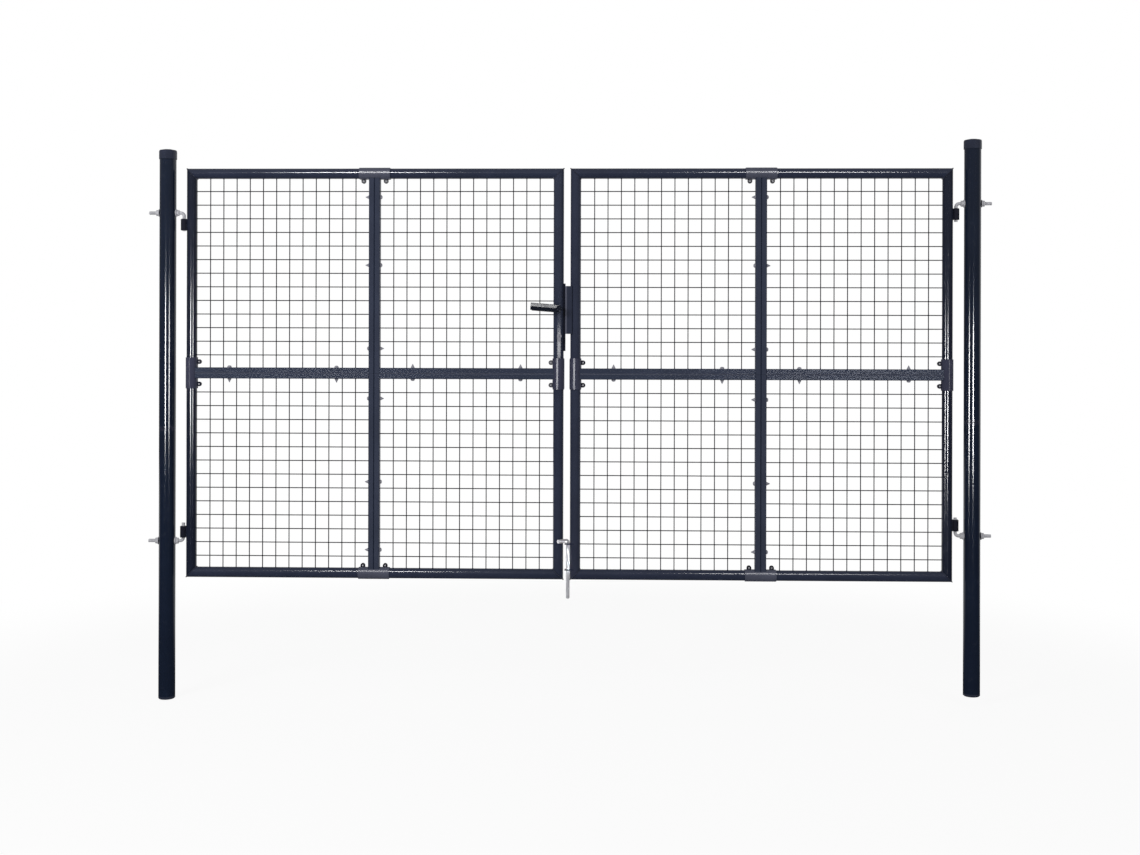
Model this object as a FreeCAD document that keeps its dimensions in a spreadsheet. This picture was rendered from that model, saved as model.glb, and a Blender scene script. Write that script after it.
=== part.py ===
import FreeCAD, Part
import os
import Sketcher
from FreeCAD import Placement, Rotation, Vector
from math import pi

# Mesh garden gate: two round posts, two leaves of four bolted mesh panels each,
# hook hinges, a lever lock on the left leaf and a drop bolt on the right leaf.
# Millimetres. The origin is the middle of the left post's foot.
# +X runs to the right post, +Y away from the viewer, +Z up.

os.makedirs("parts", exist_ok=True)
doc = FreeCAD.newDocument("MeshGardenGate")
sheet = doc.addObject("Spreadsheet::Sheet", "Dims")

# Driving sizes
sizes = [
    ("opening_width", 2878.0),
    ("post_radius", 30.0),
    ("post_wall", 2.0),
    ("post_above_leaf", 71.0),
    ("seam_drop", 1024.0),
    ("seam_groove", 0.8),
    ("spigot_length", 90.0),
    ("spigot_gap", 0.3),
    ("cap_radius", 32.0),
    ("cap_height", 36.5),
    ("cap_dome", 4.0),
    ("cap_wall", 2.0),
    ("foot_height", 10.0),
    ("foot_chamfer", 3.0),
    ("foot_plug", 16.0),
    ("leaf_height", 1500.0),
    ("leaf_bottom", 446.0),
    ("side_gap", 41.0),
    ("middle_gap", 24.0),
    ("tube_radius", 19.0),
    ("tube_wall", 1.5),
    ("joint_gap", 0.8),
    ("bar_width", 20.0),
    ("bar_depth", 30.0),
    ("bar_wall", 1.5),
    ("bar_corner", 2.0),
    ("bar_seam", 0.5),
    ("wire_size", 3.0),
    ("wire_spacing", 48.7),
    ("wire_pitch", 50.0),
    ("wire_margin", 30.0),
    ("low_mesh_drop", 4.3),
    ("clamp_length", 114.0),
    ("clamp_corner_half", 8.0),
    ("clamp_corner_drop", 6.0),
    ("clamp_wall", 2.8),
    ("clamp_gap", 0.2),
    ("clamp_slit", 2.0),
    ("clamp_slot_gap", 0.5),
    ("past_edge", 1.0),
    ("ear_offset", 41.0),
    ("ear_radius", 8.5),
    ("ear_reach", 27.8),
    ("ear_thickness", 8.0),
    ("ear_hole_radius", 3.3),
    ("rod_radius", 6.0),
    ("rod_hole_gap", 0.4),
    ("rod_bend", 12.0),
    ("rod_tail", 68.0),
    ("pin_to_leaf", 11.0),
    ("pin_past_lug", 7.0),
    ("pin_gap", 0.3),
    ("hook_to_lug", 38.0),
    ("left_leaf_set", 4.5),
    ("lug_radius", 12.0),
    ("lug_height", 42.0),
    ("lug_round", 3.0),
    ("lug_near", 166.5),
    ("lug_far", 205.5),
    ("nut_radius", 10.9),
    ("nut_height", 9.5),
    ("washer_radius", 14.0),
    ("washer_height", 3.0),
    ("lever_above_middle", 237.5),
    ("lever_inset", 15.5),
    ("lever_reach", 104.0),
    ("lever_tilt", 4.5),
    ("lever_half_height", 13.0),
    ("lever_thickness", 12.0),
    ("lever_ridge", 4.0),
    ("lever_standoff", 46.0),
    ("hub_radius", 10.5),
    ("hub_gap", 0.6),
    ("spindle_radius", 5.0),
    ("spindle_gap", 0.3),
    ("key_drop", 100.0),
    ("key_radius", 8.5),
    ("key_web_half", 5.0),
    ("key_web_drop", 20.0),
    ("key_half_length", 30.0),
    ("key_gap", 0.3),
    ("forend_height", 246.0),
    ("forend_half_width", 11.0),
    ("forend_thickness", 5.7),
    ("forend_depth", 13.7),
    ("seat_gap", 0.1),
    ("forend_gap", 0.3),
    ("forend_raise", 31.0),
    ("case_half_width", 7.0),
    ("case_depth", 27.0),
    ("case_height", 200.0),
    ("case_gap", 0.4),
    ("keep_height", 174.0),
    ("keep_half_width", 10.0),
    ("keep_reach", 13.0),
    ("keep_raise", 4.5),
    ("lip_gap", 5.0),
    ("lip_thickness", 3.0),
    ("lip_overlap", 0.5),
    ("lip_chamfer", 1.0),
    ("drop_rod_radius", 6.9),
    ("drop_tip_radius", 6.5),
    ("drop_tip_length", 80.0),
    ("drop_tip_round", 3.0),
    ("drop_rod_to_leaf", 7.0),
    ("drop_rod_front", 8.0),
    ("drop_rod_below", 68.0),
    ("drop_rod_bend", 10.0),
    ("drop_handle_length", 48.0),
    ("drop_handle_turn", 45.0),
    ("drop_handle_rest", 0.3),
    ("guide_low_bottom", 35.0),
    ("guide_high_bottom", 129.0),
    ("guide_thickness", 4.0),
    ("guide_half_depth", 10.5),
    ("guide_wall", 4.7),
    ("guide_bore_gap", 0.4),
]

# Sizes worked out from the driving ones
derived = [
    ("post_spacing", "opening_width + 2 * post_radius"),
    ("post_height", "leaf_bottom + leaf_height + post_above_leaf"),
    ("post_rise", "lug_far - lug_near - left_leaf_set"),
    ("leaf_width", "(opening_width - 2 * side_gap - middle_gap) / 2"),
    ("left_leaf_x", "post_radius + side_gap"),
    ("right_leaf_x", "left_leaf_x + leaf_width + middle_gap"),
    ("leaf_top", "leaf_bottom + leaf_height"),
    ("leaf_middle", "leaf_bottom + leaf_height / 2"),
    ("left_middle", "left_leaf_x + leaf_width / 2"),
    ("right_middle", "right_leaf_x + leaf_width / 2"),
    ("post_bore", "post_radius - post_wall"),
    ("seam_height", "post_height - seam_drop"),
    ("spigot_radius", "post_bore - spigot_gap"),
    ("tube_bore", "tube_radius - tube_wall"),
    ("pin_x", "left_leaf_x - pin_to_leaf"),
    ("right_pin_x", "post_spacing - pin_x"),
    ("left_high_lug", "leaf_top - lug_far"),
    ("left_low_lug", "leaf_bottom + lug_near"),
    ("right_high_lug", "leaf_top - lug_near"),
    ("right_low_lug", "leaf_bottom + lug_far"),
    ("high_hook", "left_high_lug + hook_to_lug + left_leaf_set"),
    ("low_hook", "left_low_lug - hook_to_lug + left_leaf_set"),
    ("hook_pin_end", "hook_to_lug + lug_height / 2 + pin_past_lug"),
    ("hook_path_turn", "pin_x - rod_bend"),
    ("lug_bore", "rod_radius + pin_gap"),
    ("rail_half", "leaf_width / 2 - joint_gap / 2"),
    ("stile_half", "leaf_height / 2 - joint_gap / 2"),
    ("mullion_bar", "leaf_height / 2 - tube_radius - bar_seam / 2"),
    ("crossbar_bar", "leaf_width / 2 - tube_radius - bar_width - bar_seam / 2"),
    ("bar_shift", "bar_width / 2 + bar_seam / 2"),
    ("panel_width", "leaf_width / 2 - bar_width - bar_seam / 2 - 2 * tube_radius"),
    ("panel_height", "leaf_height / 2 - bar_width - bar_seam / 2 - 2 * tube_radius"),
    ("panel_near", "bar_width + bar_seam / 2"),
    ("wires_across", "floor((panel_width - 2 * wire_margin) / wire_spacing) + 1"),
    ("wires_up", "floor((panel_height - 2 * wire_margin) / wire_pitch) + 1"),
    ("wire_side", "(panel_width - (wires_across - 1) * wire_spacing) / 2"),
    ("high_wire_foot", "(panel_height - (wires_up - 1) * wire_pitch) / 2"),
    ("low_wire_foot", "high_wire_foot - low_mesh_drop"),
    ("wires_run_across", "(wires_across - 1) * wire_spacing"),
    ("wires_run_up", "(wires_up - 1) * wire_pitch"),
    ("clamp_bore", "tube_radius + clamp_gap"),
    ("clamp_radius", "clamp_bore + clamp_wall"),
    ("slot_half_width", "bar_width + bar_seam / 2 + clamp_slot_gap"),
    ("slot_half_depth", "bar_depth / 2 + clamp_slot_gap"),
    ("lever_x", "left_leaf_x + leaf_width - lever_inset"),
    ("lever_z", "leaf_middle + lever_above_middle"),
    ("lever_drop", "leaf_top - lever_z"),
    ("key_z", "lever_z - key_drop"),
    ("forend_z", "lever_z - forend_raise"),
    ("forend_x", "left_leaf_x + leaf_width + forend_gap"),
    ("seat_radius", "tube_radius + seat_gap"),
    ("keep_z", "lever_z - keep_raise"),
    ("keep_face", "keep_reach + tube_radius"),
    ("lip_edge", "tube_radius + middle_gap - forend_gap - forend_thickness + lip_overlap"),
    ("lip_back", "forend_half_width + lip_gap"),
    ("lip_front", "lip_back + lip_thickness"),
    ("lip_end", "tube_radius - 2 * lip_thickness"),
    ("web_low", "forend_raise - key_drop - key_web_drop - key_gap"),
    ("nut_flat", "nut_radius * cos(30)"),
    ("drop_rod_x", "right_leaf_x - drop_rod_to_leaf"),
    ("drop_rod_foot", "leaf_bottom - drop_rod_below"),
    ("drop_handle_lift", "guide_high_bottom + guide_thickness + drop_rod_bend + drop_handle_rest"),
    ("drop_rod_length", "drop_rod_below + drop_handle_lift"),
    ("guide_bore", "drop_rod_radius + guide_bore_gap"),
    ("guide_end", "drop_rod_to_leaf + tube_radius"),
]

row = 0
for name, value in sizes:
    row = row + 1
    sheet.set("A%d" % row, name)
    sheet.set("B%d" % row, str(value))
    sheet.setAlias("B%d" % row, name)
for name, sum_text in derived:
    row = row + 1
    sheet.set("A%d" % row, name)
    sheet.set("B%d" % row, "=" + sum_text)
    sheet.setAlias("B%d" % row, name)
doc.recompute()


# Sums of sizes, such as "post_radius + 2*post_wall"
def term_value(term):
    if "/" in term:
        over, under = term.split("/")
        return term_value(over) / term_value(under)
    if "*" in term:
        first, second = term.split("*")
        return term_value(first) * term_value(second)
    if term[0].isdigit():
        return float(term)
    return float(sheet.get(term))


def term_text(term):
    if "/" in term:
        over, under = term.split("/")
        return term_text(over) + " / " + term_text(under)
    if "*" in term:
        first, second = term.split("*")
        return term_text(first) + " * " + term_text(second)
    if term[0].isdigit():
        return term
    return "Dims." + term


def number(text):
    total = 0.0
    sign = 1.0
    for word in text.split():
        if word == "+":
            sign = 1.0
        elif word == "-":
            sign = -1.0
        else:
            total = total + sign * term_value(word)
            sign = 1.0
    return total


def formula(text):
    words = []
    for word in text.split():
        if word in ("+", "-"):
            words.append(word)
        else:
            words.append(term_text(word))
    return " ".join(words)


def bind(thing, name, text):
    thing.setExpression(name, formula(text))


# Where a piece stands: its own axes and its place in the gate
def place(thing, x="0", y="0", z="0", turn=None):
    if turn is not None:
        thing.Placement = Placement(Vector(0, 0, 0), turn)
    bind(thing, "Placement.Base.x", x)
    bind(thing, "Placement.Base.y", y)
    bind(thing, "Placement.Base.z", z)


def facing(across, along):
    side = along.cross(across)
    return Rotation(across, side, along, "ZXY")


RIGHT = Vector(1, 0, 0)
LEFT = Vector(-1, 0, 0)
BACK = Vector(0, 1, 0)
UP = Vector(0, 0, 1)
DOWN = Vector(0, 0, -1)


def new_body(name):
    body = doc.addObject("PartDesign::Body", name)
    body.Label = name
    return body


def new_sketch(body, name, plane, lift=None):
    sketch = body.newObject("Sketcher::SketchObject", name)
    for feature in body.Origin.OriginFeatures:
        if feature.Role == plane:
            sketch.AttachmentSupport = [(feature, "")]
    sketch.MapMode = "FlatFace"
    if lift is not None:
        bind(sketch, "AttachmentOffset.Base.z", lift)
    return sketch


def draw_circle(sketch, radius, x="0", y="0"):
    centre = Vector(number(x), number(y), 0)
    index = sketch.addGeometry(Part.Circle(centre, Vector(0, 0, 1), number(radius)), False)
    size = sketch.addConstraint(Sketcher.Constraint("Radius", index, number(radius)))
    bind(sketch, "Constraints[%d]" % size, radius)
    if x == "0" and y == "0":
        sketch.addConstraint(Sketcher.Constraint("Coincident", index, 3, -1, 1))
        return index
    pin_point(sketch, index, 3, x, y)
    return index


def pin_point(sketch, index, end, x, y):
    for kind, text in (("DistanceX", x), ("DistanceY", y)):
        value = number(text)
        if text == "0":
            axis = -2 if kind == "DistanceX" else -1
            sketch.addConstraint(Sketcher.Constraint("PointOnObject", index, end, axis))
        else:
            held = sketch.addConstraint(Sketcher.Constraint(kind, -1, 1, index, end, value))
            bind(sketch, "Constraints[%d]" % held, text)


def draw_shape(sketch, points):
    count = len(points)
    spots = [Vector(number(x), number(y), 0) for x, y in points]
    lines = []
    for step in range(count):
        line = Part.LineSegment(spots[step], spots[(step + 1) % count])
        lines.append(sketch.addGeometry(line, False))
    for step in range(count):
        after = lines[(step + 1) % count]
        sketch.addConstraint(Sketcher.Constraint("Coincident", lines[step], 2, after, 1))
    for step in range(count):
        pin_point(sketch, lines[step], 1, points[step][0], points[step][1])


def quarter_turn(x, y, radius):
    return Part.ArcOfCircle(Part.Circle(Vector(x, y, 0), Vector(0, 0, 1), radius), 0.0, pi / 2)


def draw_box(sketch, left, low, right, high):
    draw_shape(sketch, [(left, low), (right, low), (right, high), (left, high)])


def add_pad(body, name, sketch, length, middle=False, reverse=False):
    pad = body.newObject("PartDesign::Pad", name)
    pad.Profile = sketch
    bind(pad, "Length", length)
    if middle:
        pad.SideType = "Symmetric"
    pad.Reversed = reverse
    doc.recompute()
    return pad


def add_cut(body, name, sketch, length, middle=True, reverse=False):
    before = body.Shape.Volume
    cut = body.newObject("PartDesign::Pocket", name)
    cut.Profile = sketch
    bind(cut, "Length", length)
    if middle:
        cut.SideType = "Symmetric"
    cut.Reversed = reverse
    doc.recompute()
    if body.Shape.Volume > before - 0.01:
        raise ValueError("nothing is cut by " + name)
    return cut


def add_turning(body, name, sketch):
    turning = body.newObject("PartDesign::Revolution", name)
    turning.Profile = sketch
    turning.ReferenceAxis = (sketch, ["V_Axis"])
    turning.Angle = 360
    doc.recompute()
    return turning


def add_group(name, members):
    group = doc.addObject("Part::Compound", name)
    group.Label = name
    group.Links = members
    doc.recompute()
    return group


nodes = []


# Posts: a foot cap, two tubes joined by a spigot, and a domed cap
def make_post(side, centre, rise):
    foot = new_body(side + "_post_foot")
    sketch = new_sketch(foot, side + "FootProfile", "XZ_Plane")
    draw_shape(sketch, [
        ("0", "0"),
        ("post_radius - foot_chamfer", "0"),
        ("post_radius", "foot_chamfer"),
        ("post_radius", "foot_height"),
        ("post_bore - spigot_gap", "foot_height"),
        ("post_bore - spigot_gap", "foot_height + foot_plug"),
        ("0", "foot_height + foot_plug"),
    ])
    add_turning(foot, side + "FootTurning", sketch)

    lower = new_body(side + "_post_lower")
    sketch = new_sketch(lower, side + "LowerProfile", "XZ_Plane")
    draw_box(sketch, "post_bore", "foot_height", "post_radius", "seam_height - seam_groove")
    add_turning(lower, side + "LowerTurning", sketch)
    hole = new_sketch(lower, side + "LowerHole", "YZ_Plane")
    draw_circle(hole, "rod_radius + rod_hole_gap", "0", "low_hook")
    add_cut(lower, side + "LowerHoleCut", hole, "3*post_radius")

    upper = new_body(side + "_post_upper")
    sketch = new_sketch(upper, side + "UpperProfile", "XZ_Plane")
    draw_shape(sketch, [
        ("spigot_radius - post_wall", "seam_height - spigot_length"),
        ("spigot_radius", "seam_height - spigot_length"),
        ("spigot_radius", "seam_height"),
        ("post_radius", "seam_height"),
        ("post_radius", "post_height - cap_dome - cap_wall"),
        ("post_bore", "post_height - cap_dome - cap_wall"),
        ("post_bore", "seam_height + 2*post_wall"),
        ("spigot_radius - post_wall", "seam_height"),
    ])
    add_turning(upper, side + "UpperTurning", sketch)
    hole = new_sketch(upper, side + "UpperHole", "YZ_Plane")
    draw_circle(hole, "rod_radius + rod_hole_gap", "0", "high_hook")
    add_cut(upper, side + "UpperHoleCut", hole, "3*post_radius")

    cap = new_body(side + "_post_cap")
    sketch = new_sketch(cap, side + "CapProfile", "XZ_Plane")
    draw_shape(sketch, [
        ("0", "post_height - cap_dome - cap_wall"),
        ("post_radius + spigot_gap", "post_height - cap_dome - cap_wall"),
        ("post_radius + spigot_gap", "post_height - cap_height"),
        ("cap_radius", "post_height - cap_height"),
        ("cap_radius", "post_height - 2*cap_dome"),
        ("cap_radius - cap_dome/2", "post_height - cap_dome"),
        ("cap_radius/2", "post_height - cap_dome/4"),
        ("0", "post_height"),
    ])
    add_turning(cap, side + "CapTurning", sketch)

    for body in (foot, lower, upper, cap):
        place(body, x=centre, z=rise)
        nodes.append(body)


# Hook hinges: a threaded rod through the post, bent into the hinge pin
def make_hook(side, level, centre, height, turn):
    body = new_body(side + "_" + level + "_hook")
    path = new_sketch(body, body.Name + "Path", "XZ_Plane")
    first = path.addGeometry(Part.LineSegment(
        Vector(-number("rod_tail"), 0, 0), Vector(number("hook_path_turn"), 0, 0)), False)
    bend_size = number("rod_bend")
    bend = path.addGeometry(quarter_turn(number("hook_path_turn"), -bend_size, bend_size), False)
    last = path.addGeometry(Part.LineSegment(
        Vector(number("pin_x"), -number("rod_bend"), 0),
        Vector(number("pin_x"), -number("hook_pin_end"), 0)), False)
    path.addConstraint(Sketcher.Constraint("Tangent", first, 2, bend, 2))
    path.addConstraint(Sketcher.Constraint("Tangent", bend, 1, last, 1))
    path.addConstraint(Sketcher.Constraint("PointOnObject", first, 1, -1))
    path.addConstraint(Sketcher.Constraint("Horizontal", first))
    path.addConstraint(Sketcher.Constraint("Vertical", last))
    size = path.addConstraint(Sketcher.Constraint("Radius", bend, number("rod_bend")))
    bind(path, "Constraints[%d]" % size, "rod_bend")
    tail = path.addConstraint(Sketcher.Constraint("DistanceX", first, 1, -1, 1, number("rod_tail")))
    bind(path, "Constraints[%d]" % tail, "rod_tail")
    reach = path.addConstraint(Sketcher.Constraint("DistanceX", -1, 1, last, 2, number("pin_x")))
    bind(path, "Constraints[%d]" % reach, "pin_x")
    drop = path.addConstraint(Sketcher.Constraint("DistanceY", last, 2, -1, 1, number("hook_pin_end")))
    bind(path, "Constraints[%d]" % drop, "hook_pin_end")
    section = new_sketch(body, body.Name + "Section", "YZ_Plane", "0 - rod_tail")
    draw_circle(section, "rod_radius")
    doc.recompute()
    pipe = body.newObject("PartDesign::AdditivePipe", body.Name + "Pipe")
    pipe.Profile = section
    pipe.Spine = path
    doc.recompute()
    place(body, x=centre, z=height, turn=turn)
    return body


def make_nut(side, level, centre, height, turn):
    body = new_body(side + "_" + level + "_nuts")
    washer = new_sketch(body, body.Name + "WasherRing", "YZ_Plane", "post_radius")
    draw_circle(washer, "washer_radius")
    draw_circle(washer, "rod_radius + rod_hole_gap")
    add_pad(body, body.Name + "Washer", washer, "washer_height")
    nut = new_sketch(body, body.Name + "NutRing", "YZ_Plane", "post_radius + washer_height")
    draw_shape(nut, [
        ("nut_flat", "nut_radius/2"),
        ("0", "nut_radius"),
        ("0 - nut_flat", "nut_radius/2"),
        ("0 - nut_flat", "0 - nut_radius/2"),
        ("0", "0 - nut_radius"),
        ("nut_flat", "0 - nut_radius/2"),
    ])
    draw_circle(nut, "rod_radius + rod_hole_gap")
    add_pad(body, body.Name + "Nut", nut, "nut_height")
    place(body, x=centre, z=height, turn=turn)
    return body


def make_hooks(side, centre, rise):
    toward = Rotation() if side == "left" else Rotation(UP, 180)
    flip = Rotation(RIGHT, 180)
    high = make_hook(side, "high", centre, "high_hook + " + rise, toward)
    low = make_hook(side, "low", centre, "low_hook + " + rise, toward.multiply(flip))
    nodes.append(add_group(side + "_hinge_hooks", [high, low]))
    nuts = []
    for level in ("high", "low"):
        for end, turn in (("inner", toward), ("outer", toward.multiply(Rotation(UP, 180)))):
            height = level + "_hook + " + rise
            nuts.append(make_nut(side, level + "_" + end, centre, height, turn))
    nodes.append(add_group(side + "_hinge_nuts", nuts))


# Leaf tubes: half a rail or half a stile, mitred at the corner of the leaf
def make_tube(name, length, x, z, across, along):
    body = new_body(name)
    ring = new_sketch(body, name + "Ring", "XY_Plane")
    draw_circle(ring, "tube_radius")
    draw_circle(ring, "tube_bore")
    add_pad(body, name + "Tube", ring, length)
    mitre = new_sketch(body, name + "MitreLine", "XZ_Plane")
    draw_shape(mitre, [
        ("tube_radius + past_edge", "0 - past_edge"),
        ("0 - tube_radius - past_edge", "0 - past_edge"),
        ("0 - tube_radius - past_edge", "2*tube_radius + past_edge"),
    ])
    add_cut(body, name + "Mitre", mitre, "3*tube_radius")
    place(body, x=x, z=z, turn=facing(across, along))
    return body


# Inner bars: rectangular tube, cut round where it meets the outer tube
def make_bar(name, length, x, z, across, along):
    body = new_body(name)
    ring = new_sketch(body, name + "Ring", "XY_Plane")
    corners = []
    for x_sign, y_sign, swapped in (("-", "-", False), ("+", "-", True), ("+", "+", False), ("-", "+", True)):
        x_edge = "0 " + x_sign + " bar_width/2"
        y_edge = "0 " + y_sign + " bar_depth/2"
        x_inner = x_edge + (" - " if x_sign == "+" else " + ") + "bar_corner"
        y_inner = y_edge + (" - " if y_sign == "+" else " + ") + "bar_corner"
        pair = [(x_edge, y_inner), (x_inner, y_edge)]
        if swapped:
            pair.reverse()
        corners.extend(pair)
    draw_shape(ring, corners)
    draw_box(ring, "bar_wall - bar_width/2", "bar_wall - bar_depth/2",
             "bar_width/2 - bar_wall", "bar_depth/2 - bar_wall")
    add_pad(body, name + "Tube", ring, length)
    cope = new_sketch(body, name + "CopeLine", "YZ_Plane")
    draw_circle(cope, "tube_radius")
    add_cut(body, name + "Cope", cope, "2*bar_width")
    place(body, x=x, z=z, turn=facing(across, along))
    return body


# One mesh panel: upright wires in front, level wires behind
def make_mesh(name, x, z, foot):
    body = new_body(name)
    body.AllowCompound = True
    upright = new_sketch(body, name + "UprightLine", "XY_Plane")
    draw_box(upright, "wire_side - wire_size/2", "0 - wire_size", "wire_side + wire_size/2", "0")
    first = add_pad(body, name + "Upright", upright, "panel_height")
    across = body.newObject("PartDesign::LinearPattern", name + "Uprights")
    across.Originals = [first]
    across.Direction = (upright, ["H_Axis"])
    bind(across, "Length", "wires_run_across")
    bind(across, "Occurrences", "wires_across")
    body.Tip = across
    doc.recompute()
    level = new_sketch(body, name + "LevelLine", "YZ_Plane")
    draw_box(level, "0", foot + " - wire_size/2", "wire_size", foot + " + wire_size/2")
    second = add_pad(body, name + "Level", level, "panel_width")
    up = body.newObject("PartDesign::LinearPattern", name + "Levels")
    up.Originals = [second]
    up.Direction = (level, ["V_Axis"])
    bind(up, "Length", "wires_run_up")
    bind(up, "Occurrences", "wires_up")
    body.Tip = up
    doc.recompute()
    place(body, x=x, z=z)
    return body


# Clamp: a sleeve over the joint of two tubes, slotted for the inner bars,
# drawn together by a bolt through two pairs of ears
def make_clamp(name, x, z, across, along):
    body = new_body(name)
    ring = new_sketch(body, name + "Ring", "XY_Plane")
    draw_circle(ring, "clamp_radius")
    draw_circle(ring, "clamp_bore")
    add_pad(body, name + "Sleeve", ring, "clamp_length", middle=True)
    for level, sign in (("High", "+"), ("Low", "-")):
        ears = new_sketch(body, name + level + "EarLine", "XZ_Plane")
        spot = "0 " + sign + " ear_offset"
        root = "clamp_bore + clamp_wall/2"
        draw_box(ears, root, spot + " - ear_radius", "ear_reach", spot + " + ear_radius")
        add_pad(body, name + level + "Ear", ears, "ear_thickness", middle=True)
        tip = new_sketch(body, name + level + "EarRound", "XZ_Plane")
        draw_circle(tip, "ear_radius", "ear_reach", spot)
        add_pad(body, name + level + "EarTip", tip, "ear_thickness", middle=True)
        hole = new_sketch(body, name + level + "EarHole", "XZ_Plane")
        draw_circle(hole, "ear_hole_radius", "ear_reach", spot)
        add_cut(body, name + level + "EarBore", hole, "2*ear_thickness")
    slot = new_sketch(body, name + "SlotLine", "YZ_Plane")
    draw_box(slot, "0 - slot_half_depth", "0 - slot_half_width", "slot_half_depth", "slot_half_width")
    add_cut(body, name + "Slot", slot, "3*tube_radius", middle=False, reverse=True)
    corners = new_sketch(body, name + "CornerLine", "YZ_Plane")
    for sign in ("+", "-"):
        end = "0 " + sign + " clamp_length/2"
        past = end + " " + sign + " past_edge"
        foot = end + (" - " if sign == "+" else " + ") + "clamp_corner_drop"
        draw_shape(corners, [
            ("0 - clamp_corner_half", end),
            ("0 - clamp_slit", foot),
            ("clamp_slit", foot),
            ("clamp_corner_half", end),
            ("clamp_corner_half", past),
            ("0 - clamp_corner_half", past),
        ])
    add_cut(body, name + "Corners", corners, "3*tube_radius")
    slit = new_sketch(body, name + "SlitLine", "YZ_Plane")
    draw_box(slit, "0 - clamp_slit/2", "0 - clamp_length", "clamp_slit/2", "clamp_length")
    add_cut(body, name + "Slit", slit, "3*tube_radius", middle=False, reverse=True)
    place(body, x=x, z=z, turn=facing(across, along))
    return body


# Hinge lug: the eye on the stile that turns on a hook's pin
def make_lug(name, x, z, stile):
    body = new_body(name)
    eye = new_sketch(body, name + "Eye", "XY_Plane")
    draw_circle(eye, "lug_radius")
    block = add_pad(body, name + "Block", eye, "lug_height", middle=True)
    rounding = body.newObject("PartDesign::Fillet", name + "Rounding")
    rounding.Base = (block, ["Edge1", "Edge3"])
    bind(rounding, "Radius", "lug_round")
    body.Tip = rounding
    doc.recompute()
    bore = new_sketch(body, name + "BoreLine", "XY_Plane")
    draw_circle(bore, "lug_bore")
    add_cut(body, name + "Bore", bore, "2*lug_height")
    cope = new_sketch(body, name + "CopeLine", "XY_Plane")
    draw_circle(cope, "tube_radius", stile)
    add_cut(body, name + "Cope", cope, "2*lug_height")
    place(body, x=x, z=z)
    return body


def make_leaf(side, start, middle, pin, high_lug, low_lug):
    end = start + " + leaf_width"
    low = "leaf_bottom"
    top = "leaf_top"
    inner_low = low + " + tube_radius"
    inner_top = top + " - tube_radius"
    inner_start = start + " + tube_radius"
    inner_end = end + " - tube_radius"
    name = side + "_leaf_"
    for label, height, outward in (("top_rail", inner_top, UP), ("bottom_rail", inner_low, DOWN)):
        nodes.append(add_group(name + label, [
            make_tube(name + label + "_a", "rail_half", start, height, outward, RIGHT),
            make_tube(name + label + "_b", "rail_half", end, height, outward, LEFT),
        ]))
    hinge_side = (inner_start, LEFT) if side == "left" else (inner_end, RIGHT)
    lock_side = (inner_end, RIGHT) if side == "left" else (inner_start, LEFT)
    for label, spot in (("hinge_stile", hinge_side), ("lock_stile", lock_side)):
        nodes.append(add_group(name + label, [
            make_tube(name + label + "_a", "stile_half", spot[0], top, spot[1], DOWN),
            make_tube(name + label + "_b", "stile_half", spot[0], low, spot[1], UP),
        ]))
    bars = []
    for mark, shift in (("a", " - bar_shift"), ("b", " + bar_shift")):
        spot = middle + shift
        bars.append(make_bar(name + "mullion_top_" + mark, "mullion_bar", spot, inner_top, RIGHT, DOWN))
        bars.append(make_bar(name + "mullion_low_" + mark, "mullion_bar", spot, inner_low, RIGHT, UP))
    nodes.append(add_group(name + "mullion", bars))
    bars = []
    for mark, shift in (("a", " - bar_shift"), ("b", " + bar_shift")):
        level = "leaf_middle" + shift
        label = name + "crossbar_"
        bars.append(make_bar(label + "left_" + mark, "crossbar_bar", inner_start, level, UP, RIGHT))
        bars.append(make_bar(label + "right_" + mark, "crossbar_bar", inner_end, level, UP, LEFT))
    nodes.append(add_group(name + "crossbar", bars))
    left_x = start + " + 2*tube_radius"
    right_x = middle + " + panel_near"
    low_z = "leaf_bottom + 2*tube_radius"
    high_z = "leaf_middle + panel_near"
    for level, z in (("low", low_z), ("high", high_z)):
        for label, x in (("_left", left_x), ("_right", right_x)):
            nodes.append(make_mesh(name + "mesh_" + level + label, x, z, level + "_wire_foot"))
    nodes.append(add_group(name + "rail_clamps", [
        make_clamp(name + "top_clamp", middle, inner_top, DOWN, RIGHT),
        make_clamp(name + "bottom_clamp", middle, inner_low, UP, RIGHT),
    ]))
    nodes.append(add_group(name + "stile_clamps", [
        make_clamp(name + "left_clamp", inner_start, "leaf_middle", RIGHT, UP),
        make_clamp(name + "right_clamp", inner_end, "leaf_middle", LEFT, UP),
    ]))
    stile = "pin_to_leaf + tube_radius" if side == "left" else "0 - pin_to_leaf - tube_radius"
    nodes.append(add_group(name + "hinge_lugs", [
        make_lug(name + "high_lug", pin, high_lug, stile),
        make_lug(name + "low_lug", pin, low_lug, stile),
    ]))


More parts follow.
